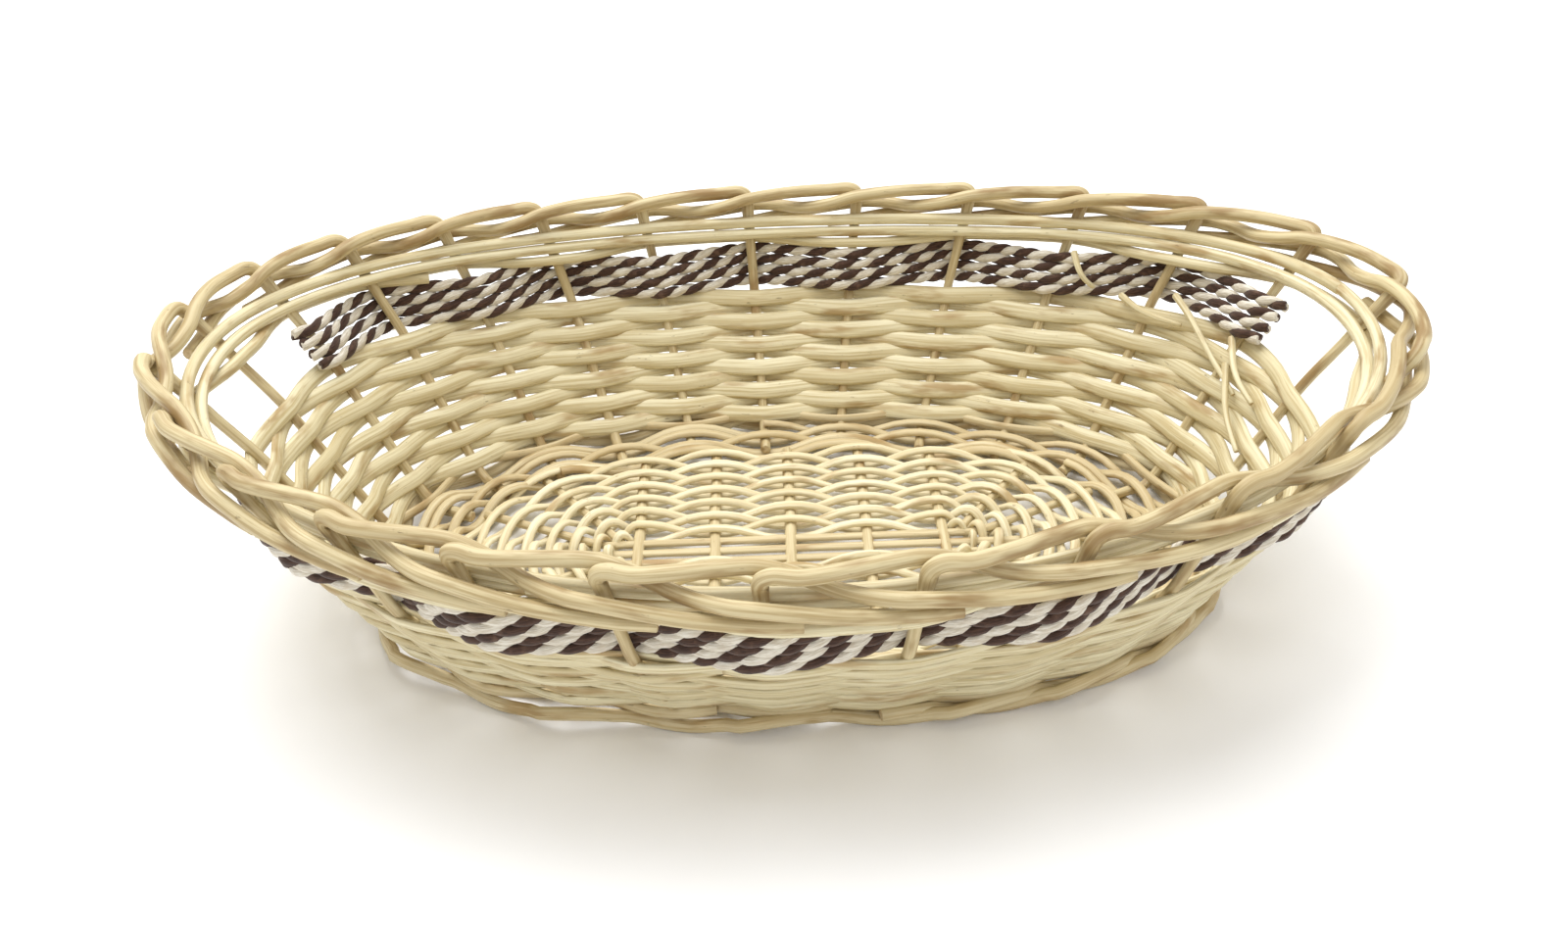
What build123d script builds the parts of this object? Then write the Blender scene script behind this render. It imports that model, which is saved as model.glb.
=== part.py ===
"""Oval wicker basket: a stick base, upright stakes bent over into a border, randed sides, two rope bands.

Millimetres, +Z up. The origin is the middle of the ground under the base, +X is along the basket.
"""

from build123d import *
import os
from math import acos, cos, hypot, pi, radians, sin, tan

# Ovals that the stakes stand on: half length and half width of each.
base_half_length = 153.5
base_half_width = 93.0
weave_half_length = 190.5
weave_half_width = 127.5
rim_half_length = 221.0
rim_half_width = 139.5

# An oval's outline is |x/a|^n + |y/b|^n = 1: 2 is an ellipse, more is squarer.
base_squareness = 2.4
rim_squareness = 2.0

# The wall sweeps up by this much at its ends and dips by as much at the middle of its long sides.
end_sweep = 7.0

# Rods.
stake_radius = 2.5
weaver_radius = 2.0
foot_radius = 2.2
rope_radius = 2.1
stick_radius = 2.4
base_weaver_radius = 1.5
clearance = 0.15

# The first stake stands this share of a step past the back middle, going round by the left.
first_stake_step = 0.27

# The stakes stand closer round the left end, by up to twice this share of the way round.
left_crowding = 0.020

# Each band of ropes runs from one stake to another, counted round from the first.
# Last is the side of the even stakes that it passes on, 1 for outside.
back_band = (-5, 5, 1)
front_band = (8, 17, -1)

# Counts.
stake_count = 25
weave_rows = 11
ropes_in_band = 4
cross_sticks = 5

# The base.
stick_pitch = 29.5
mat_inset = 7.0
stake_leg = 12.0
stick_end_cover = 3.0
long_stick_width = 4.0
long_stick_thickness = 2.0
long_stick_spacing = 6.5
long_stick_fan = 24.0
fan_start = 20.0

# Spaces between what is woven, one above the other.
row_gap = 0.7
band_gap = 0.3
rope_gap = 0.2
rim_row_gap = 0.5
border_gap = 0.3

# A rod that goes once round leaves this much between its two ends.
end_gap = 0.4

# How far a turn reaches each way along a rod: round a stake, at a stake's foot and kink, and
# along the border. A rope's tail is what is left past its last stake.
weave_turn = 3.5
kink_turn = 5.0
border_turn = 4.0
rope_tail = 9.0

# The border: how a bent-over stake lies, as steps from its own stake to the next ones, then in
# stake radii how far out it lies from the line of the stakes, and how far below its top.
border_course = [
    (0.25, 0.12, 0.00),
    (0.50, -0.76, 0.00),
    (0.75, -1.84, 0.20),
    (1.00, -2.60, 1.04),
    (1.25, -1.52, 2.36),
    (1.50, 0.32, 2.96),
    (1.75, 2.12, 3.08),
    (2.00, 2.84, 3.32),
    (2.50, 3.28, 4.68),
    (3.00, 2.88, 6.00),
    (3.30, 2.76, 6.24),
]

mat_height = 2 * (stick_radius + 2 * base_weaver_radius)
stick_height = mat_height / 2

# Heights above the ground, each from what is woven below it.
lower_ring_height = foot_radius
upper_ring_height = lower_ring_height + 2 * foot_radius + rope_gap
first_row_height = upper_ring_height + foot_radius + weaver_radius + row_gap
row_pitch = 2 * weaver_radius + row_gap
weave_height = first_row_height + (weave_rows - 1) * row_pitch + weaver_radius
first_rope_height = weave_height + band_gap + rope_radius
rope_pitch = 2 * rope_radius + rope_gap
last_rope_height = first_rope_height + (ropes_in_band - 1) * rope_pitch
rim_row_height = last_rope_height + rope_radius + rim_row_gap + weaver_radius
border_depth = (border_course[-1][2] + 1) * stake_radius + weaver_radius + border_gap
rim_height = rim_row_height + border_depth


def oval(angle, half_length, half_width, squareness):
    """Point of an oval, at an angle on the circle that the oval is stretched from."""
    c, s = cos(angle), sin(angle)
    reach = (abs(c) ** squareness + abs(s) ** squareness) ** (-1 / squareness)
    return Vector(half_length * reach * c, half_width * reach * s)


def stake_line(angle, height):
    """Point on the line of the stakes, which lean out from base to weave and from weave to rim."""
    if height <= weave_height:
        share = (height - stick_height) / (weave_height - stick_height)
        low = (base_half_length, base_half_width, base_squareness)
        middle = (base_squareness + rim_squareness) / 2
        high = (weave_half_length, weave_half_width, middle)
    else:
        share = (height - weave_height) / (rim_height - weave_height)
        middle = (base_squareness + rim_squareness) / 2
        low = (weave_half_length, weave_half_width, middle)
        high = (rim_half_length, rim_half_width, rim_squareness)
    point = oval(angle, *low) * (1 - share) + oval(angle, *high) * share
    woven = (min(height, weave_height) - stick_height) / (weave_height - stick_height)
    return Vector(point.X, point.Y, height + end_sweep * cos(2 * angle) * max(0.0, woven))


def outward(angle, height):
    """Level direction square to the wall, pointing out."""
    step = 0.002
    along = stake_line(angle + step, height) - stake_line(angle - step, height)
    return Vector(along.Y, -along.X).normalized()


def lean_factor(angle, height):
    """One over the cosine of how far the stake leans out at this height."""
    rise = 0.5
    move = stake_line(angle, height + rise) - stake_line(angle, height - rise)
    out = outward(angle, height)
    return hypot(1.0, move.dot(out) / move.Z)


def spread_angles(count):
    """Angles of the stakes round the top of the weave, from just past the back middle."""
    samples = 3600
    ring = [stake_line(pi / 2 + 2 * pi * i / samples, weave_height) for i in range(samples + 1)]
    lengths = [0.0]
    for start, end in zip(ring, ring[1:]):
        lengths.append(lengths[-1] + (end - start).length)
    angles = []
    for i in range(count):
        share = (i + first_stake_step) / count
        share -= left_crowding * (1 - cos(2 * pi * share))
        wanted = lengths[-1] * share
        k = next(j for j, length in enumerate(lengths) if length >= wanted - 1e-9)
        angles.append(pi / 2 + 2 * pi * k / samples)
    return angles


stake_angles = spread_angles(stake_count)


def angle_at(position):
    """Angle at a position counted in stakes; a half is midway between two stakes."""
    whole = int(position // 1)
    share = position - whole
    turns, index = divmod(whole, stake_count)
    start = stake_angles[index] + 2 * pi * turns
    turns, index = divmod(whole + 1, stake_count)
    end = stake_angles[index] + 2 * pi * turns
    return start + (end - start) * share


def rounded_path(points, turns, closed=False, gap=0.0):
    """Straight runs between points, each corner an arc that reaches its turn along both runs.

    A closed path may stop short of its own start by a gap.
    """
    count = len(points)
    edges = []
    start = None if closed else points[0]
    for i in range(count) if closed else range(1, count - 1):
        reach, half, inward = corner_at(points, i, turns[i])
        back = (points[i - 1] - points[i]).normalized()
        ahead = (points[(i + 1) % count] - points[i]).normalized()
        middle = points[i] + inward * (reach * (1 / cos(half) - 1) / tan(half))
        if start is not None:
            edges.append(Edge.make_line(start, points[i] + back * reach))
        end = points[i] + ahead * reach
        edges.append(Edge.make_three_point_arc(points[i] + back * reach, middle, end))
        start = end
    end = edges[0] @ 0 if closed else points[-1]
    edges.append(Edge.make_line(start, end - (end - start).normalized() * gap))
    return Wire.combine(edges)[0]


def corner_at(points, i, turn):
    """How far a corner's arc reaches, half the angle that it turns by, and which way is inward."""
    back = points[i - 1] - points[i]
    ahead = points[(i + 1) % len(points)] - points[i]
    reach = min(turn, 0.48 * back.length, 0.48 * ahead.length)
    back, ahead = back.normalized(), ahead.normalized()
    half = acos(max(-1.0, min(1.0, -back.dot(ahead)))) / 2
    return reach, half, (back + ahead).normalized()


def rod(path, radius):
    """Round rod along a path."""
    return sweep(Plane(path @ 0, z_dir=path % 0) * Circle(radius), path=path)


def corner_allowance(points, i, turn):
    """How far a rounded corner passes inside its point."""
    reach, half, inward = corner_at(points, i, turn)
    return reach * (1 / cos(half) - 1) / tan(half)


def woven_points(places, height, radius, sides, turn):
    """Points of a level rod that passes each stake on the given side, touching-close."""
    offset = stake_radius + radius + clearance
    reach = [offset * lean_factor(stake_angles[i % stake_count], height) for i in places]
    for attempt in range(3):
        points = []
        for i, side, far in zip(places, sides, reach):
            angle = stake_angles[i % stake_count]
            points.append(stake_line(angle, height) + outward(angle, height) * side * far)
        reach = [
            offset * lean_factor(stake_angles[i % stake_count], height)
            + corner_allowance(points, n, turn)
            for n, i in enumerate(places)
        ]
    return points


def weave_row(height, phase):
    """One row of randing, a rod once round: in front of one stake, behind the next.

    The stakes are odd in number, so where its ends meet a row passes two stakes on the same side.
    """
    places = range(stake_count)
    sides = [1 if (i + phase) % 2 == 0 else -1 for i in places]
    points = woven_points(places, height, weaver_radius, sides, weave_turn)
    path = rounded_path(points, [weave_turn] * stake_count, closed=True, gap=end_gap)
    return rod(path, weaver_radius)


def foot_ring(height, out):
    """Plain ring around the feet of the stakes."""
    points = []
    for angle in stake_angles:
        points.append(stake_line(angle, height) + outward(angle, stick_height) * out)
    half_run = (points[1] - points[0]).length / 2
    for i, angle in enumerate(stake_angles):
        points[i] += outward(angle, stick_height) * corner_allowance(points, i, half_run)
    path = rounded_path(points, [half_run] * stake_count, closed=True, gap=end_gap)
    return rod(path, foot_radius)


def rope(first, last, even_side, height):
    """One rope of a band: on one side of every even stake, the other side of every odd one."""
    places = list(range(first - 1, last + 2))
    sides = [-even_side if i % 2 else even_side for i in places]
    points = woven_points(places, height, rope_radius, sides, weave_turn)
    points[0] = points[1] + (points[0] - points[1]).normalized() * rope_tail
    points[-1] = points[-2] + (points[-1] - points[-2]).normalized() * rope_tail
    return rod(rounded_path(points, [weave_turn] * len(points)), rope_radius)


def stake(i):
    """A stake: leg in the base, up the wall, bent over at the top and laid along the border."""
    angle = stake_angles[i]
    foot = stake_line(angle, stick_height)
    leg_end = foot - outward(angle, stick_height) * (mat_inset + stake_leg)
    points = [leg_end, foot, stake_line(angle, weave_height), stake_line(angle, rim_height)]
    for steps, out, drop in border_course:
        place = angle_at(i + steps)
        level = rim_height - drop * stake_radius
        points.append(stake_line(place, level) + outward(place, level) * out * stake_radius)
    turns = [border_turn] * len(points)
    turns[1] = turns[3] = kink_turn
    return rod(rounded_path(points, turns), stake_radius)


def mat_outline(inset):
    """Level face of the base's outline, drawn in from the feet of the stakes."""
    points = []
    for angle in stake_angles:
        points.append(stake_line(angle, stick_height) - outward(angle, stick_height) * inset)
    points = [Vector(point.X, point.Y, 0) for point in points]
    turn = (points[1] - points[0]).length / 2
    return Face(rounded_path(points, [turn] * stake_count, closed=True))


def cross_stick(number):
    """Stick across the base, slit through its middle for the long sticks."""
    x = (number - (cross_sticks - 1) / 2) * stick_pitch
    share = (1 - (abs(x) / base_half_length) ** base_squareness) ** (1 / base_squareness)
    reach = base_half_width * share - mat_inset - stake_leg - stick_end_cover
    stick = Pos(x, 0, stick_height) * Rot(90, 0, 0) * Cylinder(stick_radius, 2 * reach)
    slit_width = 2 * long_stick_spacing + long_stick_width + 2 * clearance
    slit = Box(4 * stick_radius, slit_width, long_stick_thickness + 2 * clearance)
    return stick - Pos(x, 0, stick_height) * slit


def long_stick(side, grow=0.0):
    """Flat split stick along the base; the outer two fan out past the last cross stick."""
    straight = (cross_sticks - 1) / 2 * stick_pitch + fan_start
    end = base_half_length - mat_inset - stake_leg - stick_end_cover
    fan = side * tan(radians(long_stick_fan)) * (end - straight)
    y = side * long_stick_spacing
    if side == 0:
        lath = Box(2 * end, long_stick_width + 2 * grow, long_stick_thickness + 2 * grow)
        return Pos(0, 0, stick_height) * lath
    points = [(-end, y + fan), (-straight, y), (straight, y), (end, y + fan)]
    points = [Vector(x, y, stick_height) for x, y in points]
    path = rounded_path(points, [fan_start / 2] * 4)
    section = Rectangle(long_stick_width + 2 * grow, long_stick_thickness + 2 * grow)
    start = Plane(path @ 0, x_dir=Vector(0, 0, 1).cross(path % 0), z_dir=path % 0)
    return sweep(start * section, path=path)


def base_mat():
    """The woven base as one closed mat, with a channel for each stick and each stake's leg."""
    mat = extrude(mat_outline(mat_inset), mat_height)
    channels = []
    for number in range(cross_sticks):
        x = (number - (cross_sticks - 1) / 2) * stick_pitch
        reach = cross_stick(number).bounding_box().size.Y / 2 + clearance
        channel = Cylinder(stick_radius + clearance, 2 * reach)
        channels.append(Pos(x, 0, stick_height) * Rot(90, 0, 0) * channel)
    for side in (-1, 0, 1):
        channels.append(long_stick(side, clearance))
    for angle in stake_angles:
        foot = stake_line(angle, stick_height)
        inward = outward(angle, stick_height) * -1
        depth = mat_inset + stake_leg + clearance
        leg = extrude(Plane(foot, z_dir=inward) * Circle(stake_radius + clearance), depth)
        channels.append(leg)
    return mat - channels


def build():
    """Every node of the basket by name."""
    nodes = {"base_mat": base_mat()}
    for number in range(cross_sticks):
        nodes[f"base_cross_stick_{number + 1}"] = cross_stick(number)
    for side, name in ((-1, "front"), (0, "middle"), (1, "back")):
        nodes[f"base_long_stick_{name}"] = long_stick(side)
    for i in range(stake_count):
        nodes[f"stake_{i + 1:02d}"] = stake(i)
    beside = stake_radius + foot_radius + clearance
    nodes["foot_ring_lower"] = foot_ring(lower_ring_height, beside)
    factor = max(lean_factor(angle, stick_height + 2) for angle in stake_angles)
    nodes["foot_ring_upper"] = foot_ring(upper_ring_height, beside * factor)
    for number in range(weave_rows):
        height = first_row_height + number * row_pitch
        nodes[f"weave_row_{number + 1:02d}"] = weave_row(height, number % 2)
    nodes["rim_row"] = weave_row(rim_row_height, weave_rows % 2)
    for name, band in (("back", back_band), ("front", front_band)):
        for number in range(ropes_in_band):
            height = first_rope_height + number * rope_pitch
            nodes[f"rope_{name}_{number + 1}"] = rope(*band, height)
    return nodes


def centred(nodes):
    """The same nodes, moved level so that the whole basket's box is centred on the origin."""
    box = Compound(list(nodes.values())).bounding_box()
    middle = (box.min + box.max) / 2
    return {name: Pos(-middle.X, -middle.Y, 0) * shape for name, shape in nodes.items()}


os.makedirs("parts", exist_ok=True)
for name, shape in centred(build()).items():
    shape.label = name
    export_step(shape, f"parts/{name}.step")
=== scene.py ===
import math
import random

import bmesh
import bpy
from mathutils import Matrix, Vector, noise


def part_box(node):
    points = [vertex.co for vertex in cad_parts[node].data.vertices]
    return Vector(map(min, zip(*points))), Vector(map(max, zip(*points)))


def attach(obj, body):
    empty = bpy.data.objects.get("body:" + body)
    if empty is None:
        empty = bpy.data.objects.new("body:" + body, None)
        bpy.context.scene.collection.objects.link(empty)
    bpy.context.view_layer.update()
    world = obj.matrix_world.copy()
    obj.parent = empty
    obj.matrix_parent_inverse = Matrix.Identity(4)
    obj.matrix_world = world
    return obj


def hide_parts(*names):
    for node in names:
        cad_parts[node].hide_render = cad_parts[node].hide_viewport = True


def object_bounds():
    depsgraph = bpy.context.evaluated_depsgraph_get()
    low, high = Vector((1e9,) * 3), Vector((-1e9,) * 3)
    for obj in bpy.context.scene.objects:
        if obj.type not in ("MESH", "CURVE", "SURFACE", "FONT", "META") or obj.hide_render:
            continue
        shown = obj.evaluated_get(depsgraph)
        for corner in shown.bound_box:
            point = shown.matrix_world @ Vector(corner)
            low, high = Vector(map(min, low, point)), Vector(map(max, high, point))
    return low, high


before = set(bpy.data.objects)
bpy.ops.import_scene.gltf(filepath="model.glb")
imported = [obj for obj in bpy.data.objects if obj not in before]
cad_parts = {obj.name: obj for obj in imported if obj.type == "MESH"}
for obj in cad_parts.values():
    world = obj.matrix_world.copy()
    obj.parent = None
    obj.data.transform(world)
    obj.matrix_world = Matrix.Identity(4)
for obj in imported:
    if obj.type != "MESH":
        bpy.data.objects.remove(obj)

cad_box = [list(corner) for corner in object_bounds()]


# Base sticks. Five short peeled sticks lie across the middle of the base, slit through the heart,
# and three split sticks run the length of the base through the slits. Past the last cross stick
# the outer two are split once more and spread like a fan, so five ends reach each end.
UP = Vector((0, 0, 1))
STICK_THICK = 0.0047
LATH_THICK = 0.0024
LATH_WIDTH = 0.0040
ARM_THICK = 0.0036
LONG_STICK_GAP = 0.0065
FAN_ANGLES = (28, 55)
FAN_REACHES = (0.015, 0.032, 0.050, 0.0665)
CROSS_STICKS = 5

mat_low, mat_high = [Vector(corner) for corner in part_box("base_mat")]
centre = (mat_low + mat_high) / 2
stick_height = centre.z
centre.z = 0.0


def add_node(tree, kind, **values):
    """Adds a shader node; each value is for the socket of that name, and a socket gets linked."""
    node = tree.nodes.new(kind)
    for name, value in values.items():
        socket = node.inputs[name.replace("_", " ")]
        if isinstance(value, bpy.types.NodeSocket):
            tree.links.new(value, socket)
        else:
            socket.default_value = value
    return node


def mix_colours(tree, share, colour, over):
    """Lays one colour over another; each may be a socket or three plain numbers."""
    mix = tree.nodes.new("ShaderNodeMix")
    mix.data_type = "RGBA"
    tree.links.new(share, mix.inputs["Factor"])
    for name, value in (("A", colour), ("B", over)):
        if isinstance(value, bpy.types.NodeSocket):
            tree.links.new(value, mix.inputs[name])
        else:
            mix.inputs[name].default_value = (*value, 1)
    return mix.outputs["Result"]


def share_between(tree, value, low, high, most=1.0):
    """How far a value has come from low to high, from nothing to the most."""
    ranged = add_node(tree, "ShaderNodeMapRange", Value=value, From_Min=low, From_Max=high, To_Max=most)
    ranged.interpolation_type = "SMOOTHSTEP"
    return ranged.outputs["Result"]


def peeled_willow(name, pale, straw, tan, tanned, roughness):
    """Peeled willow: streaks along the rod, tan patches, brown flecks and a fine ribbed skin."""
    material = bpy.data.materials.new(name)
    material.use_nodes = True
    tree = material.node_tree
    shader = tree.nodes["Principled BSDF"]
    grain = tree.nodes.new("ShaderNodeAttribute")
    grain.attribute_name = "grain"
    grain = grain.outputs["Vector"]

    def along_rod(stretch, scale, detail, sharpness):
        place = add_node(tree, "ShaderNodeMapping", Vector=grain, Scale=(1, 1, stretch))
        texture = add_node(
            tree, "ShaderNodeTexNoise", Vector=place.outputs["Vector"], Scale=scale, Detail=detail,
            Roughness=sharpness)
        return texture.outputs["Fac"]

    streaks = along_rod(0.030, 900.0, 4.0, 0.60)
    patches = along_rod(0.22, 150.0, 3.0, 0.55)
    flecks = along_rod(0.30, 520.0, 3.0, 0.65)
    rod_tone = along_rod(0.020, 60.0, 1.0, 0.50)
    colour = mix_colours(tree, share_between(tree, streaks, 0.34, 0.62), straw, pale)
    colour = mix_colours(tree, share_between(tree, rod_tone, 0.42, 0.68, 0.55), colour, straw)
    tan_share = share_between(tree, patches, 0.60 - tanned, 0.74 - tanned / 2, 0.85)
    colour = mix_colours(tree, tan_share, colour, tan)
    brown = tuple(part * 0.45 for part in tan)
    colour = mix_colours(tree, share_between(tree, flecks, 0.66, 0.76, 0.6), colour, brown)
    tree.links.new(colour, shader.inputs["Base Color"])
    dull = add_node(
        tree, "ShaderNodeMapRange", Value=streaks, To_Min=roughness, To_Max=roughness + 0.2)
    tree.links.new(dull.outputs["Result"], shader.inputs["Roughness"])
    skin = add_node(tree, "ShaderNodeBump", Height=streaks, Strength=0.45, Distance=0.0003)
    tree.links.new(skin.outputs["Normal"], shader.inputs["Normal"])
    shader.inputs["IOR"].default_value = 1.45
    shader.inputs["Specular IOR Level"].default_value = 0.4
    return material


def smooth_through(points, steps):
    """Points of a smooth line through a few given ones."""
    padded = [points[0] * 2 - points[1], *points, points[-1] * 2 - points[-2]]
    line = []
    for a, b, c, d in zip(padded, padded[1:], padded[2:], padded[3:]):
        for k in range(steps):
            t = k / steps
            curved = (2 * a - 5 * b + 4 * c - d) * t * t + (3 * b - a - 3 * c + d) * t ** 3
            line.append((2 * b + (c - a) * t + curved) / 2)
    return line + [points[-1].copy()]


def uneven(course, butt, tip, seed):
    """Radii along a rod: it thins from butt to tip, wavers a little and swells at its buds."""
    radii = []
    gone = 0.0
    for k, point in enumerate(course):
        gone += (point - course[k - 1]).length if k else 0.0
        share = k / (len(course) - 1)
        waver = 0.05 * noise.noise(Vector((gone * 45, seed * 3.7, 0)))
        bud = max(0.0, noise.noise(Vector((gone * 22, seed * 5.3, 9))) - 0.42) * 0.30
        radii.append((butt + (tip - butt) * share) * (1 + waver + bud))
    return radii


def lay_rod(bm, course, radii, sides=8, widths=None, along=0.0, leans=None):
    """One rod along its course: a flat grid rolled up ring by ring, its ends cut off and closed.

    Widths make it wider or narrower than it is tall, and leans say which way its height points.
    """
    up = UP
    grain = bm.verts.layers.float_vector.get("grain") or bm.verts.layers.float_vector.new("grain")
    first_run = (course[0] - course[1]).normalized() * 0.0003
    last_run = (course[-1] - course[-2]).normalized() * 0.0003
    course = [course[0] + first_run, *course, course[-1] + last_run]
    radii = [radii[0] * 0.82, *radii, radii[-1] * 0.82]
    widths = [widths[0], *widths, widths[-1]] if widths else [1.0] * len(course)
    leans = [leans[0], *leans, leans[-1]] if leans else None
    count = len(course)
    grid = bmesh.ops.create_grid(bm, x_segments=sides, y_segments=count - 1, size=1)["verts"]
    for k, point in enumerate(course):
        ahead = (course[min(k + 1, count - 1)] - course[max(k - 1, 0)]).normalized()
        side = ahead.cross(leans[k] if leans else up).normalized()
        up = side.cross(ahead).normalized()
        along += (point - course[k - 1]).length if k else 0.0
        for step, vert in enumerate(grid[k * (sides + 1):(k + 1) * (sides + 1)]):
            turn = math.tau * (step % sides) / sides
            across = Vector((math.cos(turn) * widths[k], math.sin(turn))) * radii[k]
            vert.co = point + side * across.x + up * across.y
            vert[grain] = (across.x, across.y, along)
    seam = {grid[k * (sides + 1) + sides]: grid[k * (sides + 1)] for k in range(count)}
    ends = [[grid[start + step] for step in range(sides)] for start in (0, (count - 1) * (sides + 1))]
    bmesh.ops.weld_verts(bm, targetmap=seam)
    for end in ends:
        rim = set(end)
        edges = {edge for vert in end for edge in vert.link_edges if set(edge.verts) <= rim}
        for face in bmesh.ops.contextual_create(bm, geom=list(edges))["faces"]:
            face.material_index = 1
            face.smooth = False


def finish_piece(bm, name, materials, nodes):
    """Turns a finished bmesh into a piece of the basket that stands for its plain nodes."""
    bmesh.ops.recalc_face_normals(bm, faces=bm.faces)
    for face in bm.faces:
        face.smooth = len(face.verts) == 4
    mesh = bpy.data.meshes.new(name)
    bm.to_mesh(mesh)
    bm.free()
    for material in materials:
        mesh.materials.append(material)
    piece = bpy.data.objects.new(name, mesh)
    bpy.context.scene.collection.objects.link(piece)
    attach(piece, "root")
    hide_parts(*nodes)


stick_willow = peeled_willow(
    "stick_willow", (0.66, 0.56, 0.34), (0.52, 0.41, 0.22), (0.38, 0.24, 0.10), 0.05, 0.42)
cut_end = peeled_willow(
    "cut_end", (0.62, 0.50, 0.30), (0.46, 0.33, 0.17), (0.26, 0.15, 0.06), 0.10, 0.6)

for number in range(1, CROSS_STICKS + 1):
    low, high = [Vector(corner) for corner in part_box(f"base_cross_stick_{number}")]
    x = (low.x + high.x) / 2
    bm = bmesh.new()
    points = []
    for k in range(7):
        bow = 0.0005 * noise.noise(Vector((k * 0.9, number * 4.1, 0)))
        points.append(Vector((x + bow, low.y + (high.y - low.y) * k / 6, stick_height)))
    course = smooth_through(points, 4)
    radii = uneven(course, STICK_THICK / 2, STICK_THICK / 2 * 0.94, number)
    lay_rod(bm, course, radii, along=number * 3.1)
    finish_piece(
        bm, f"base_cross_stick_rod_{number}", [stick_willow, cut_end],
        [f"base_cross_stick_{number}"])

end_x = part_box("base_cross_stick_5")[0][0] + STICK_THICK / 2 - centre.x
long_low, long_high = [Vector(corner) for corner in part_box("base_long_stick_middle")]
long_reach = (long_high.x - long_low.x) / 2
for side, where in ((-1, "front"), (0, "middle"), (1, "back")):
    y = LONG_STICK_GAP * side
    bm = bmesh.new()
    reach = long_reach if side == 0 else end_x + 0.008
    course = [centre + Vector((reach * (k / 20 - 1), y, stick_height)) for k in range(41)]
    radii = uneven(course, LATH_THICK / 2, LATH_THICK / 2, side + 7)
    lay_rod(bm, course, radii, widths=[LATH_WIDTH / LATH_THICK] * len(course), along=side + 31.0)
    for end in (-1, 1) if side else ():
        for angle in FAN_ANGLES:
            slant = math.radians(angle)
            arm = [Vector((end_x - 0.002, LONG_STICK_GAP, 0)), Vector((end_x + 0.005, 0.0066, 0))]
            for far in FAN_REACHES:
                arm.append(Vector((end_x + far * 1.05 * math.cos(slant), far * math.sin(slant), 0)))
            arm = [centre + Vector((p.x * end, p.y * side, stick_height)) for p in arm]
            course = smooth_through(arm, 4)
            radii = uneven(course, ARM_THICK / 2 * 0.8, ARM_THICK / 2, angle)
            lay_rod(bm, course, radii, along=angle + side)
    finish_piece(
        bm, f"base_long_stick_rod_{where}", [stick_willow, cut_end],
        [f"base_long_stick_{where}"])


# Base weave. Thin pale rods, flattened a little by the pull, go round and round the middle, over
# one stick and under the next, and each round is the other way up from the one inside it.
BASE_ROUNDS = 13
FIRST_ROUND = 0.0109
LAST_ROUND = 0.0670
ROUND_THICK = 0.0027
ROUND_WIDTH = 0.0039
ROUND_LIFT = 0.0034
ROUND_STEPS = 6
END_TURNS = (0, 35, 62, 90, 118, 145, 180)


def round_point(place, far):
    """Point of a round, at a place counted in sticks: five across each long side, five an end."""
    place %= 20
    half, rest = divmod(place, 10)
    if rest <= 4:
        point = Vector((end_x * (1 - rest / 2), far, 0))
    else:
        whole = int(rest - 4)
        turn = END_TURNS[whole] + (END_TURNS[whole + 1] - END_TURNS[whole]) * (rest - 4 - whole)
        turn = math.radians(90 + turn)
        point = Vector((far * 1.017 * math.cos(turn) - end_x, far * math.sin(turn), 0))
    return point if half == 0 else -point


base_willow = peeled_willow(
    "base_willow", (0.86, 0.79, 0.56), (0.66, 0.55, 0.32), (0.40, 0.27, 0.11), 0.05, 0.42)
bm = bmesh.new()
for number in range(BASE_ROUNDS):
    far = FIRST_ROUND + (LAST_ROUND - FIRST_ROUND) * number / (BASE_ROUNDS - 1)
    start = 2 * (3 * number % 10) + number % 2
    course = []
    for k in range(20 * ROUND_STEPS + 1):
        place = start + k / ROUND_STEPS
        wander = 0.0007 * noise.noise(Vector((place * 0.8, number * 2.3, 4)))
        point = round_point(place, far + wander)
        sway = math.cos(math.pi * (place + number))
        lift = ROUND_LIFT * math.copysign(abs(sway) ** 0.8, sway)
        course.append(centre + point + UP * (stick_height - lift))
    radii = uneven(course, ROUND_THICK / 2 * 1.05, ROUND_THICK / 2 * 0.9, number)
    widths = [ROUND_WIDTH / ROUND_THICK] * len(course)
    lay_rod(bm, course, radii, widths=widths, along=number * 2.7)
finish_piece(bm, "base_weave", [base_willow, cut_end], ["base_mat"])


# Stakes and border. Twenty-five peeled willow rods are pushed into the base beside its sticks,
# lean out up the wall, are kinked sharply at the rim and laid to the right: behind the next kink,
# under the rod that starts there, then down over the outside of two more. They are the border.
STAKE_COUNT = 25
FIRST_STAKE_STEP = 0.27
LEFT_CROWDING = 0.020
END_SWEEP = 0.0070
STAKE_THICK = 0.0050
WALL_STAKE_THICK = 0.0036
WEAVER_THICK = 0.0027
FOOT_GAP = 0.0070
LEG = 0.0130
BASE_SQUARENESS = 2.4
WEAVE_SQUARENESS = 2.2
RIM_SQUARENESS = 2.0
BORDER_REACH = (0.0025, 0.0070)
WALL_LEAN = (0.0305, 0.0120)

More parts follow.
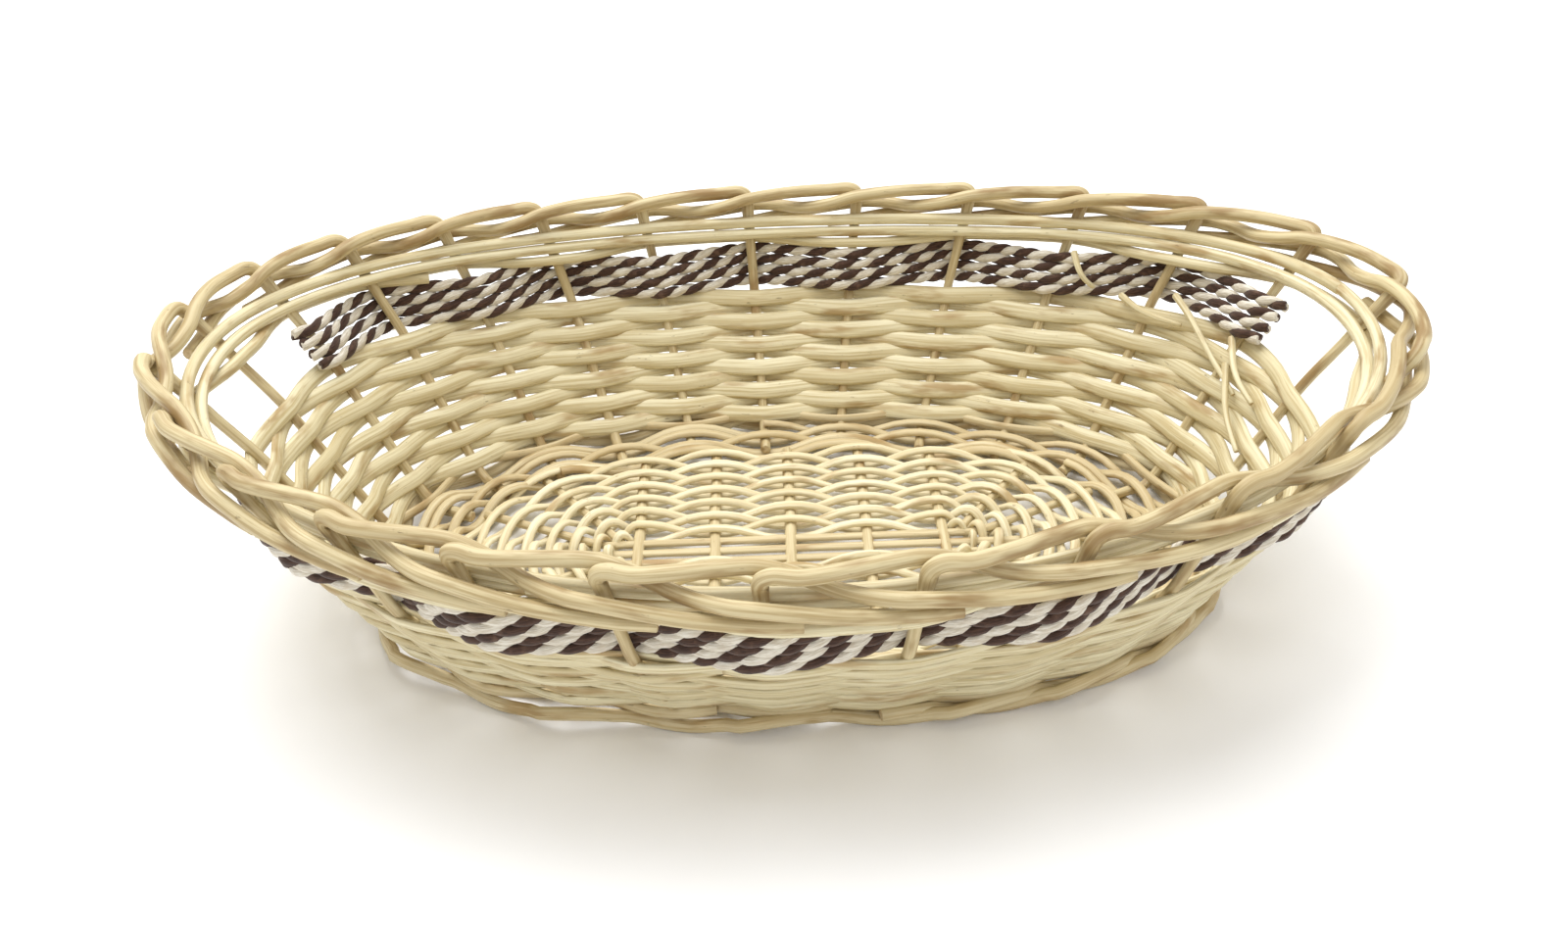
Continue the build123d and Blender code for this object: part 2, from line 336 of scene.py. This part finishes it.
# Three ovals carry the wall: where the stakes leave the base, the top of the weave, and the rim.
half_base = (mat_high - mat_low) / 2
half_rim = [(cad_box[1][axis] - cad_box[0][axis]) / 2 - BORDER_REACH[axis] for axis in (0, 1)]
weave_height = 0.0607
rim_height = cad_box[1][2] - STAKE_THICK / 2 - END_SWEEP
OVALS = [
    (stick_height, half_base.x + FOOT_GAP, half_base.y + FOOT_GAP, BASE_SQUARENESS),
    (weave_height, half_rim[0] - WALL_LEAN[0], half_rim[1] - WALL_LEAN[1], WEAVE_SQUARENESS),
    (rim_height, *half_rim, RIM_SQUARENESS),
]


def oval_point(angle, half_length, half_width, squareness):
    """Point of an oval round the middle of the basket; 2 is an ellipse, and more is squarer."""
    c, s = math.cos(angle), math.sin(angle)
    reach = (abs(c) ** squareness + abs(s) ** squareness) ** (-1 / squareness)
    return Vector((half_length * reach * c, half_width * reach * s, 0))


def stake_line(angle, height):
    """Where the middle of a stake is at a height; the wall sweeps up at its ends."""
    low, high = OVALS[:2] if height <= weave_height else OVALS[1:]
    share = (height - low[0]) / (high[0] - low[0])
    point = oval_point(angle, *low[1:]).lerp(oval_point(angle, *high[1:]), share)
    woven = (min(height, weave_height) - stick_height) / (weave_height - stick_height)
    return centre + point + UP * (height + END_SWEEP * math.cos(2 * angle) * max(0.0, woven))


def outward(angle, height):
    """The level way out of the basket, square to its wall."""
    step = stake_line(angle + 0.002, height) - stake_line(angle - 0.002, height)
    return Vector((step.y, -step.x, 0)).normalized()


def lean_factor(angle, height):
    """How much wider the wall is, measured level, than square to its lean."""
    move = stake_line(angle, height + 0.0005) - stake_line(angle, height - 0.0005)
    return math.hypot(1, move.dot(outward(angle, height)) / move.z)


def wall_lean(angle, height):
    """The way up the wall, along its lean."""
    return (stake_line(angle, height + 0.0005) - stake_line(angle, height - 0.0005)).normalized()


def spread_stakes(count):
    """Angles of the stakes along the top of the weave, where they crowd a little to the left."""
    samples = 2500
    ring = [stake_line(math.pi / 2 + math.tau * k / samples, weave_height) for k in range(samples + 1)]
    lengths = [0.0]
    for start, end in zip(ring, ring[1:]):
        lengths.append(lengths[-1] + (end - start).length)
    angles = []
    for i in range(count):
        share = (i + FIRST_STAKE_STEP) / count
        wanted = lengths[-1] * (share - LEFT_CROWDING * (1 - math.cos(math.tau * share)))
        k = min(range(samples), key=lambda n: abs(lengths[n] - wanted))
        angles.append(math.pi / 2 + math.tau * k / samples)
    return angles


stake_angles = spread_stakes(STAKE_COUNT)


def angle_at(place):
    """Angle at a place counted in stakes, round from the back middle by the left."""
    whole = math.floor(place)
    turns, index = divmod(whole, STAKE_COUNT)
    next_turns, next_index = divmod(whole + 1, STAKE_COUNT)
    start = stake_angles[index] + math.tau * turns
    end = stake_angles[next_index] + math.tau * next_turns
    return start + (end - start) * (place - whole)


stake_willow = peeled_willow(
    "stake_willow", (0.66, 0.56, 0.33), (0.44, 0.33, 0.16), (0.28, 0.17, 0.06), 0.11, 0.34)

# Steps on from the rod's own kink, millimetres out from the line of the stakes, millimetres down.
BORDER_COURSE = [
    (0.25, 0.3, 0.3),
    (0.50, -1.6, 0.0),
    (0.75, -4.0, 0.0),
    (1.00, -5.7, 0.9),
    (1.25, -4.0, 4.4),
    (1.50, 0.8, 7.4),
    (1.75, 5.3, 7.7),
    (2.00, 7.1, 8.3),
    (2.50, 8.2, 11.7),
    (3.00, 7.2, 15.0),
    (3.30, 6.9, 15.6),
]
draw = random.Random(5)
for i in range(STAKE_COUNT):
    angle = stake_angles[i]
    foot = stake_line(angle, stick_height)
    inward = -outward(angle, stick_height)
    course = [foot + inward * (FOOT_GAP + LEG), foot + inward * 0.009, foot + inward * 0.0035]
    course.append(stake_line(angle, stick_height + 0.0045) + inward * 0.0006)
    course += [stake_line(angle, weave_height * share) for share in (0.30, 0.55, 0.80, 1.0)]
    rise = rim_height - weave_height
    course += [stake_line(angle, weave_height + rise * share) for share in (0.35, 0.70, 0.90)]
    course = smooth_through(course, 4)[:-1]
    wall_rings = len(course)
    kink = stake_line(angle, rim_height)
    along_rim = (stake_line(angle_at(i + 0.2), rim_height) - kink).normalized()
    stray = draw.uniform(-1, 1)
    lie = [
        stake_line(angle, rim_height - 0.0030),
        stake_line(angle, rim_height - 0.0008) + along_rim * 0.0012,
        kink + along_rim * 0.0045 + UP * 0.0003,
    ]
    longer = draw.uniform(-0.12, 0.06)
    for steps, out, drop in BORDER_COURSE:
        steps += longer * max(0.0, steps - 2.5)
        place = angle_at(i + steps)
        level = rim_height - drop * 0.001
        shift = 0.0004 * stray * math.sin(steps * 2.1)
        lie.append(stake_line(place, level) + outward(place, level) * (out * 0.001 + shift))
    course += smooth_through(lie, 6)
    radii = uneven(course, STAKE_THICK / 2 * draw.uniform(1.08, 1.20), STAKE_THICK / 2, i)
    widths = [1.0] * len(course)
    for k in range(wall_rings):
        spread = max(0.0, (k - wall_rings + 8) / 8)
        radii[k] *= WALL_STAKE_THICK / STAKE_THICK * (1 - spread) + spread
    for k in range(wall_rings - 4, wall_rings + 14):
        pinch = math.exp(-((k - wall_rings - 5) / 3.5) ** 2)
        widths[k] = 1 + 0.16 * pinch
        radii[k] *= 1 - 0.10 * pinch
    bm = bmesh.new()
    lay_rod(bm, course, radii, sides=12, widths=widths, along=draw.uniform(0, 60))
    finish_piece(
        bm, f"stake_rod_{i + 1:02d}", [stake_willow, cut_end], [f"stake_{i + 1:02d}"])


# Base edge and foot. Browner rods lock the stakes in: five rounds over and under their legs in the
# edge of the base, outside at the foot a pair of thick rods twisted round each other, and on top of
# the pair one round woven in front of a stake and behind the next.
EDGE_INSETS = (0.0045, 0.0088, 0.0131, 0.0174, 0.0217)
EDGE_BUTT, EDGE_TIP, EDGE_FLAT = 0.00155, 0.00135, 1.45
EDGE_LIFT = 0.0035
FOOT_RADIUS = 0.0024
FOOT_ROUND_DROP = 0.0006
FOOT_ROUND_SWAY = 0.0027
WALL_START = 12.4
foot_willow = peeled_willow(
    "foot_willow", (0.68, 0.58, 0.36), (0.54, 0.42, 0.22), (0.38, 0.25, 0.10), 0.08, 0.42)
bm = bmesh.new()
for number, inset in enumerate(EDGE_INSETS):
    course = []
    for k in range(STAKE_COUNT * 6 + 1):
        place = 7 * number + k / 6
        angle = angle_at(place)
        wander = 0.0005 * noise.noise(Vector((place * 0.9, number * 3.3, 7)))
        sway = math.cos(math.pi * (place + number))
        lift = EDGE_LIFT * math.copysign(abs(sway) ** 0.8, sway)
        level = stake_line(angle, stick_height) - outward(angle, stick_height) * (inset + wander)
        course.append(level - UP * lift)
    radii = uneven(course, EDGE_BUTT, EDGE_TIP, number + 40)
    lay_rod(bm, course, radii, widths=[EDGE_FLAT] * len(course), along=number * 5.3)
finish_piece(bm, "base_edge_weave", [foot_willow, cut_end], ["base_mat"])

foot_low, foot_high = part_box("foot_ring_lower")[0][2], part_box("foot_ring_upper")[1][2]
foot_middle = (foot_low + foot_high) / 2
twist_reach = (foot_high - foot_low) / 2 - FOOT_RADIUS
for number, name in enumerate(("lower", "upper")):
    course = []
    for k in range(STAKE_COUNT * 8 + 1):
        place = 12 * number + 2 + k / 8
        angle = angle_at(place)
        turn = math.pi * (place + number)
        level = foot_middle - twist_reach * math.cos(turn)
        beside = STAKE_THICK / 2 + FOOT_RADIUS + twist_reach * 0.75 * math.sin(turn)
        lean = lean_factor(angle, stick_height + 0.002) if level > stick_height else 1.0
        lowest = max(level, stick_height - 0.002)
        out = stake_line(angle, lowest) - UP * lowest
        course.append(out + UP * level + outward(angle, stick_height) * (beside * lean + 0.0004))
    bm = bmesh.new()
    radii = uneven(course, FOOT_RADIUS, FOOT_RADIUS * 0.9, number + 60)
    lay_rod(bm, course, radii, along=number * 9.1)
    if name == "upper":
        course = []
        for k in range(STAKE_COUNT * 7 + 1):
            place = WALL_START + k / 7
            angle = angle_at(place)
            level = foot_high - FOOT_ROUND_DROP
            sway = -FOOT_ROUND_SWAY * math.cos(math.pi * place)
            side = outward(angle, level) * sway * lean_factor(angle, level)
            course.append(stake_line(angle, level) + side)
        radii = uneven(course, 0.0022, 0.0020, 63)
        lay_rod(bm, course, radii, widths=[0.7] * len(course), along=27.0)
    finish_piece(bm, f"foot_rod_{name}", [foot_willow, cut_end], [f"foot_ring_{name}"])


# Side weave. Eleven peeled rods, each about once round: in front of one stake and behind the
# next, climbing by its own thickness a round, so each begins on top of the end of the one before.
# The stakes are odd in number, so every round passes each stake on the other side from the last.
# A few thin tips were left loose inside the right end.
side_willow = peeled_willow(
    "side_willow", (0.78, 0.71, 0.48), (0.55, 0.45, 0.24), (0.38, 0.25, 0.10), 0.07, 0.36)
ROWS = 11
ROW_PITCH = 0.0047
WEAVER_TALL = 0.0060
PRESS = 0.0009
END_TUCK = 0.0035
SIDE_STEPS = 7
first_row_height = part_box("foot_ring_upper")[1][2] + WEAVER_THICK / 2 + 0.0006


def woven_point(place, height, reach, side_of_even):
    """Point of a rod woven through the stakes, at a place counted in stakes."""
    angle = angle_at(place)
    sway = side_of_even * math.asin(0.96 * math.cos(math.pi * place)) / math.asin(0.96)
    across = outward(angle, height) * sway * reach * lean_factor(angle, height)
    return stake_line(angle, height) + across


# Row, place and height where a thin tip leaves the wall, and place and height where it ends.
TIP_BUTT, TIP_END = 0.0015, 0.0010
LOOSE_TIPS = [
    (11, 21.3, 0.064, 20.6, 0.058),
    (10, 20.8, 0.068, 19.6, 0.046),
    (9, 20.0, 0.060, 19.3, 0.048),
    (8, 19.9, 0.052, 19.0, 0.036),
    (11, 21.9, 0.079, 21.6, 0.066),
]
draw = random.Random(23)
start = WALL_START
for number in range(ROWS):
    length = draw.choice((24.6, 25.5, 26.4))
    course, talls, widths, leans = [], [], [], []
    steps = int(length * SIDE_STEPS)
    for k in range(steps + 1):
        place = start + length * k / steps
        climbed = (place - WALL_START) / STAKE_COUNT - 0.5
        height = first_row_height + ROW_PITCH * min(max(climbed, -0.15), ROWS - 0.85)
        turn = angle_at(place)
        slack = 0.0004 + 0.0009 * max(0.0, math.cos(turn)) ** 2
        height += slack * noise.noise(Vector((place * 0.55, number * 7.7, 2)))
        from_end = min(k, steps - k) / SIDE_STEPS
        point = woven_point(place, height, (WALL_STAKE_THICK + WEAVER_THICK) / 2 - PRESS, 1)
        tall = lean_factor(turn, height)
        talls.append(tall)
        widths.append(WEAVER_THICK / WEAVER_TALL / tall)
        leans.append(wall_lean(turn, height))
        if from_end < 0.8:
            point -= outward(turn, height) * END_TUCK * (1 - from_end / 0.8) ** 1.5
        course.append(point)
    radii = uneven(course, WEAVER_TALL / 2 * 1.06, WEAVER_TALL / 2 * 0.92, number + 80)
    radii = [radius * tall for radius, tall in zip(radii, talls)]
    bm = bmesh.new()
    lay_rod(bm, course, radii, widths=widths, along=number * 4.9, leans=leans)
    for row, leaves, high, ends, low in LOOSE_TIPS:
        if row != number + 1:
            continue
        tip = []
        for k in range(7):
            height = high + (low - high) * k / 6
            turn = angle_at(leaves + (ends - leaves) * k / 6)
            bulge = 0.0050 + 0.0045 * math.sin(math.pi * k / 6)
            tip.append(stake_line(turn, height) - outward(turn, height) * bulge)
        tip = smooth_through(tip, 3)
        lay_rod(bm, tip, uneven(tip, TIP_BUTT, TIP_END, row), along=high * 900)
    finish_piece(
        bm, f"weave_rod_{number + 1:02d}", [side_willow, cut_end],
        [f"weave_row_{number + 1:02d}"])
    start += length - 0.5


# Rim row. Just under the border three peeled rods go once round. The lowest is woven, outside two
# stakes and inside the next, and the two above it lie along the inside of them all.
RIM_ROW_DROP = 0.0204
RIM_ROW_RISES = (0.0, 0.0046, 0.0092)
RIM_ROW_BUTT, RIM_ROW_TIP = 0.0025, 0.0022
RIM_ROW_REACH = 0.0042
bm = bmesh.new()
for number, rise in enumerate(RIM_ROW_RISES):
    course = []
    for k in range(STAKE_COUNT * SIDE_STEPS + 5):
        place = 3.4 + 8 * number + k / SIDE_STEPS
        height = rim_height - RIM_ROW_DROP + rise
        height += 0.0006 * noise.noise(Vector((place * 0.5, number * 5.5, 3)))
        turn = (place + number) % 3
        inside = min(1.0, max(0.0, abs(turn - 1.5) - 0.35))
        sway = 1 - 2 * (0.5 - 0.5 * math.cos(math.pi * inside)) if number == 0 else -1
        angle = angle_at(place)
        reach = (RIM_ROW_REACH - 0.0003 * number) * lean_factor(angle, height)
        course.append(stake_line(angle, height) + outward(angle, height) * sway * reach)
    radii = uneven(course, RIM_ROW_BUTT, RIM_ROW_TIP, 120 + number)
    lay_rod(bm, course, radii, along=71.0 + 9 * number)
finish_piece(bm, "rim_row_rod", [side_willow, cut_end], ["rim_row"])


# Rope bands. Four two-ply ropes of dry leaf fibre, one ply cream and one dyed dark brown, are
# woven one above the other in front of one stake and behind the next, and cut off a little past the
# last stake of their band. A long band crosses the back and a shorter one the front.
ROPE_BANDS = (("back", -5, 5, 1), ("front", 8, 17, -1))
ROPES = 4
PLY_RADIUS = 0.00195
PLY_FLAT = 0.74
PLY_OFFSET = 0.00072
PLY_PITCH = 0.0150
PLY_STEP = 0.0011
PLY_DRIFT = 0.45
ROPE_PITCH = 0.0044
ROPE_SWAY = 0.0046
ROPE_TURN = 0.46
FIRST_ROPE_RISE = 0.0024
ROPE_TAIL = 0.24


def leaf_fibre(name, colour, worn, shade):
    """Twisted leaf fibre: fine strands slanting round the ply, dull, with worn lighter streaks."""
    material = bpy.data.materials.new(name)
    material.use_nodes = True
    tree = material.node_tree
    shader = tree.nodes["Principled BSDF"]
    grain = tree.nodes.new("ShaderNodeAttribute")
    grain.attribute_name = "grain"
    grain = grain.outputs["Vector"]
    place = add_node(tree, "ShaderNodeMapping", Vector=grain, Scale=(1, 1, 0.10))
    fibres = add_node(
        tree, "ShaderNodeTexNoise", Vector=place.outputs["Vector"], Scale=2600.0, Detail=3.0,
        Roughness=0.6).outputs["Fac"]
    patches = add_node(
        tree, "ShaderNodeTexNoise", Vector=grain, Scale=260.0, Detail=3.0, Roughness=0.6).outputs["Fac"]
    tone = mix_colours(tree, share_between(tree, fibres, 0.35, 0.66), shade, colour)
    tone = mix_colours(tree, share_between(tree, patches, 0.52, 0.74, 0.7), tone, worn)
    tree.links.new(tone, shader.inputs["Base Color"])
    shader.inputs["Roughness"].default_value = 0.75
    shader.inputs["Specular IOR Level"].default_value = 0.25
    shader.inputs["Sheen Weight"].default_value = 0.15
    strands = add_node(tree, "ShaderNodeBump", Height=fibres, Strength=0.8, Distance=0.0003)
    tree.links.new(strands.outputs["Normal"], shader.inputs["Normal"])
    return material


rope_cream = leaf_fibre("rope_cream", (0.80, 0.76, 0.66), (0.62, 0.54, 0.42), (0.55, 0.48, 0.37))
rope_brown = leaf_fibre(
    "rope_brown", (0.085, 0.042, 0.026), (0.15, 0.085, 0.055), (0.035, 0.016, 0.010))


def even_steps(points, step):
    """The same line, with points at equal steps along it."""
    spaced = [points[0].copy()]
    left = step
    for start, end in zip(points, points[1:]):
        run = (end - start).length
        gone = 0.0
        while run - gone >= left:
            gone += left
            spaced.append(start.lerp(end, gone / run))
            left = step
        left -= run - gone
    return spaced


for where, first, last, side_of_even in ROPE_BANDS:
    for number in range(1, ROPES + 1):
        height = weave_height + FIRST_ROPE_RISE + ROPE_PITCH * (number - 1)
        points = []
        span = last - first + 2 * ROPE_TAIL
        for k in range(int(span * 12) + 1):
            place = first - ROPE_TAIL + span * k / int(span * 12)
            wander = 0.0003 * noise.noise(Vector((place * 0.8, number * 3.1, first)))
            points.append(woven_point(place, height + wander, ROPE_SWAY, side_of_even))
        middle = even_steps(points, PLY_STEP)
        bm = bmesh.new()
        for ply in (0, 1):
            strand = []
            for k, point in enumerate(middle):
                ahead = (middle[min(k + 1, len(middle) - 1)] - middle[max(k - 1, 0)]).normalized()
                side = ahead.cross(UP).normalized()
                drift = PLY_DRIFT * noise.noise(Vector((k * 0.03, number * 2.9, first)))
                turn = math.tau * (k * PLY_STEP / PLY_PITCH + ply / 2 + number * ROPE_TURN + drift)
                strand.append(point + (side * math.cos(turn) + UP * math.sin(turn)) * PLY_OFFSET)
            radii = []
            for k in range(len(strand)):
                swell = 0.06 * noise.noise(Vector((k * 0.11, number, ply)))
                radii.append(PLY_RADIUS * (1 + swell))
            other_ply = set(bm.faces)
            widths, leans = [PLY_FLAT] * len(strand), [UP] * len(strand)
            along = number * 1.7 + ply * 11.3
            lay_rod(bm, strand, radii, widths=widths, along=along, leans=leans)
            for face in bm.faces:
                if face not in other_ply:
                    face.material_index = ply
        finish_piece(
            bm, f"two_tone_rope_{where}_{number}", [rope_cream, rope_brown],
            [f"rope_{where}_{number}"])


# Floor, lights and camera. A plain pale floor under even studio light, seen from a little above.
FLOOR_REACH = 6
FLOOR_WHITE = 0.95
bm = bmesh.new()
bmesh.ops.create_grid(bm, x_segments=1, y_segments=1, size=FLOOR_REACH)
floor_mesh = bpy.data.meshes.new("floor")
bm.to_mesh(floor_mesh)
bm.free()
floor = bpy.data.objects.new("floor", floor_mesh)
bpy.context.scene.collection.objects.link(floor)
floor_paint = bpy.data.materials.new("floor_paint")
floor_paint.use_nodes = True
shader = floor_paint.node_tree.nodes["Principled BSDF"]
shader.inputs["Base Color"].default_value = (FLOOR_WHITE, FLOOR_WHITE, FLOOR_WHITE, 1)
shader.inputs["Roughness"].default_value = 0.9
floor_mesh.materials.append(floor_paint)

world = bpy.data.worlds.new("studio")
world.use_nodes = True
world.node_tree.nodes["Background"].inputs["Color"].default_value = (1, 1, 1, 1)
world.node_tree.nodes["Background"].inputs["Strength"].default_value = 0.82
bpy.context.scene.world = world
bpy.context.scene.view_settings.view_transform = "Standard"

AIM = Vector((0, 0, 0.060))


def softbox(name, place, size, power):
    """A soft studio light that faces the basket."""
    light = bpy.data.lights.new(name, "AREA")
    light.shape = "RECTANGLE"
    light.size, light.size_y = size
    light.energy = power
    lamp = bpy.data.objects.new(name, light)
    lamp.location = place
    lamp.rotation_euler = (AIM - Vector(place)).to_track_quat("-Z", "Y").to_euler()
    bpy.context.scene.collection.objects.link(lamp)


softbox("key", (-0.25, 0.40, 1.45), (1.5, 1.5), 27)
softbox("fill", (0.8, -0.5, 0.9), (0.7, 0.7), 1)

CAMERA_DISTANCE = 0.6008
CAMERA_HEIGHT_ANGLE = math.radians(31.02)
CAMERA_SIDE_ANGLE = math.radians(-0.61)
CAMERA_ROLL = math.radians(-1.86)
camera_data = bpy.data.cameras.new("camera")
camera_data.sensor_width = 36
camera_data.lens = 37.6
camera_data.shift_x = -5.5 / 1600
camera_data.shift_y = -36.8 / 1600
camera_data.clip_start = 0.01
camera = bpy.data.objects.new("camera", camera_data)
away = Vector((
    math.sin(CAMERA_SIDE_ANGLE) * math.cos(CAMERA_HEIGHT_ANGLE),
    -math.cos(CAMERA_SIDE_ANGLE) * math.cos(CAMERA_HEIGHT_ANGLE),
    math.sin(CAMERA_HEIGHT_ANGLE),
))
camera.location = AIM + away * CAMERA_DISTANCE
level = (-away).to_track_quat("-Z", "Y").to_matrix()
camera.rotation_euler = (level @ Matrix.Rotation(CAMERA_ROLL, 3, "Z")).to_euler()
bpy.context.scene.collection.objects.link(camera)
bpy.context.scene.camera = camera
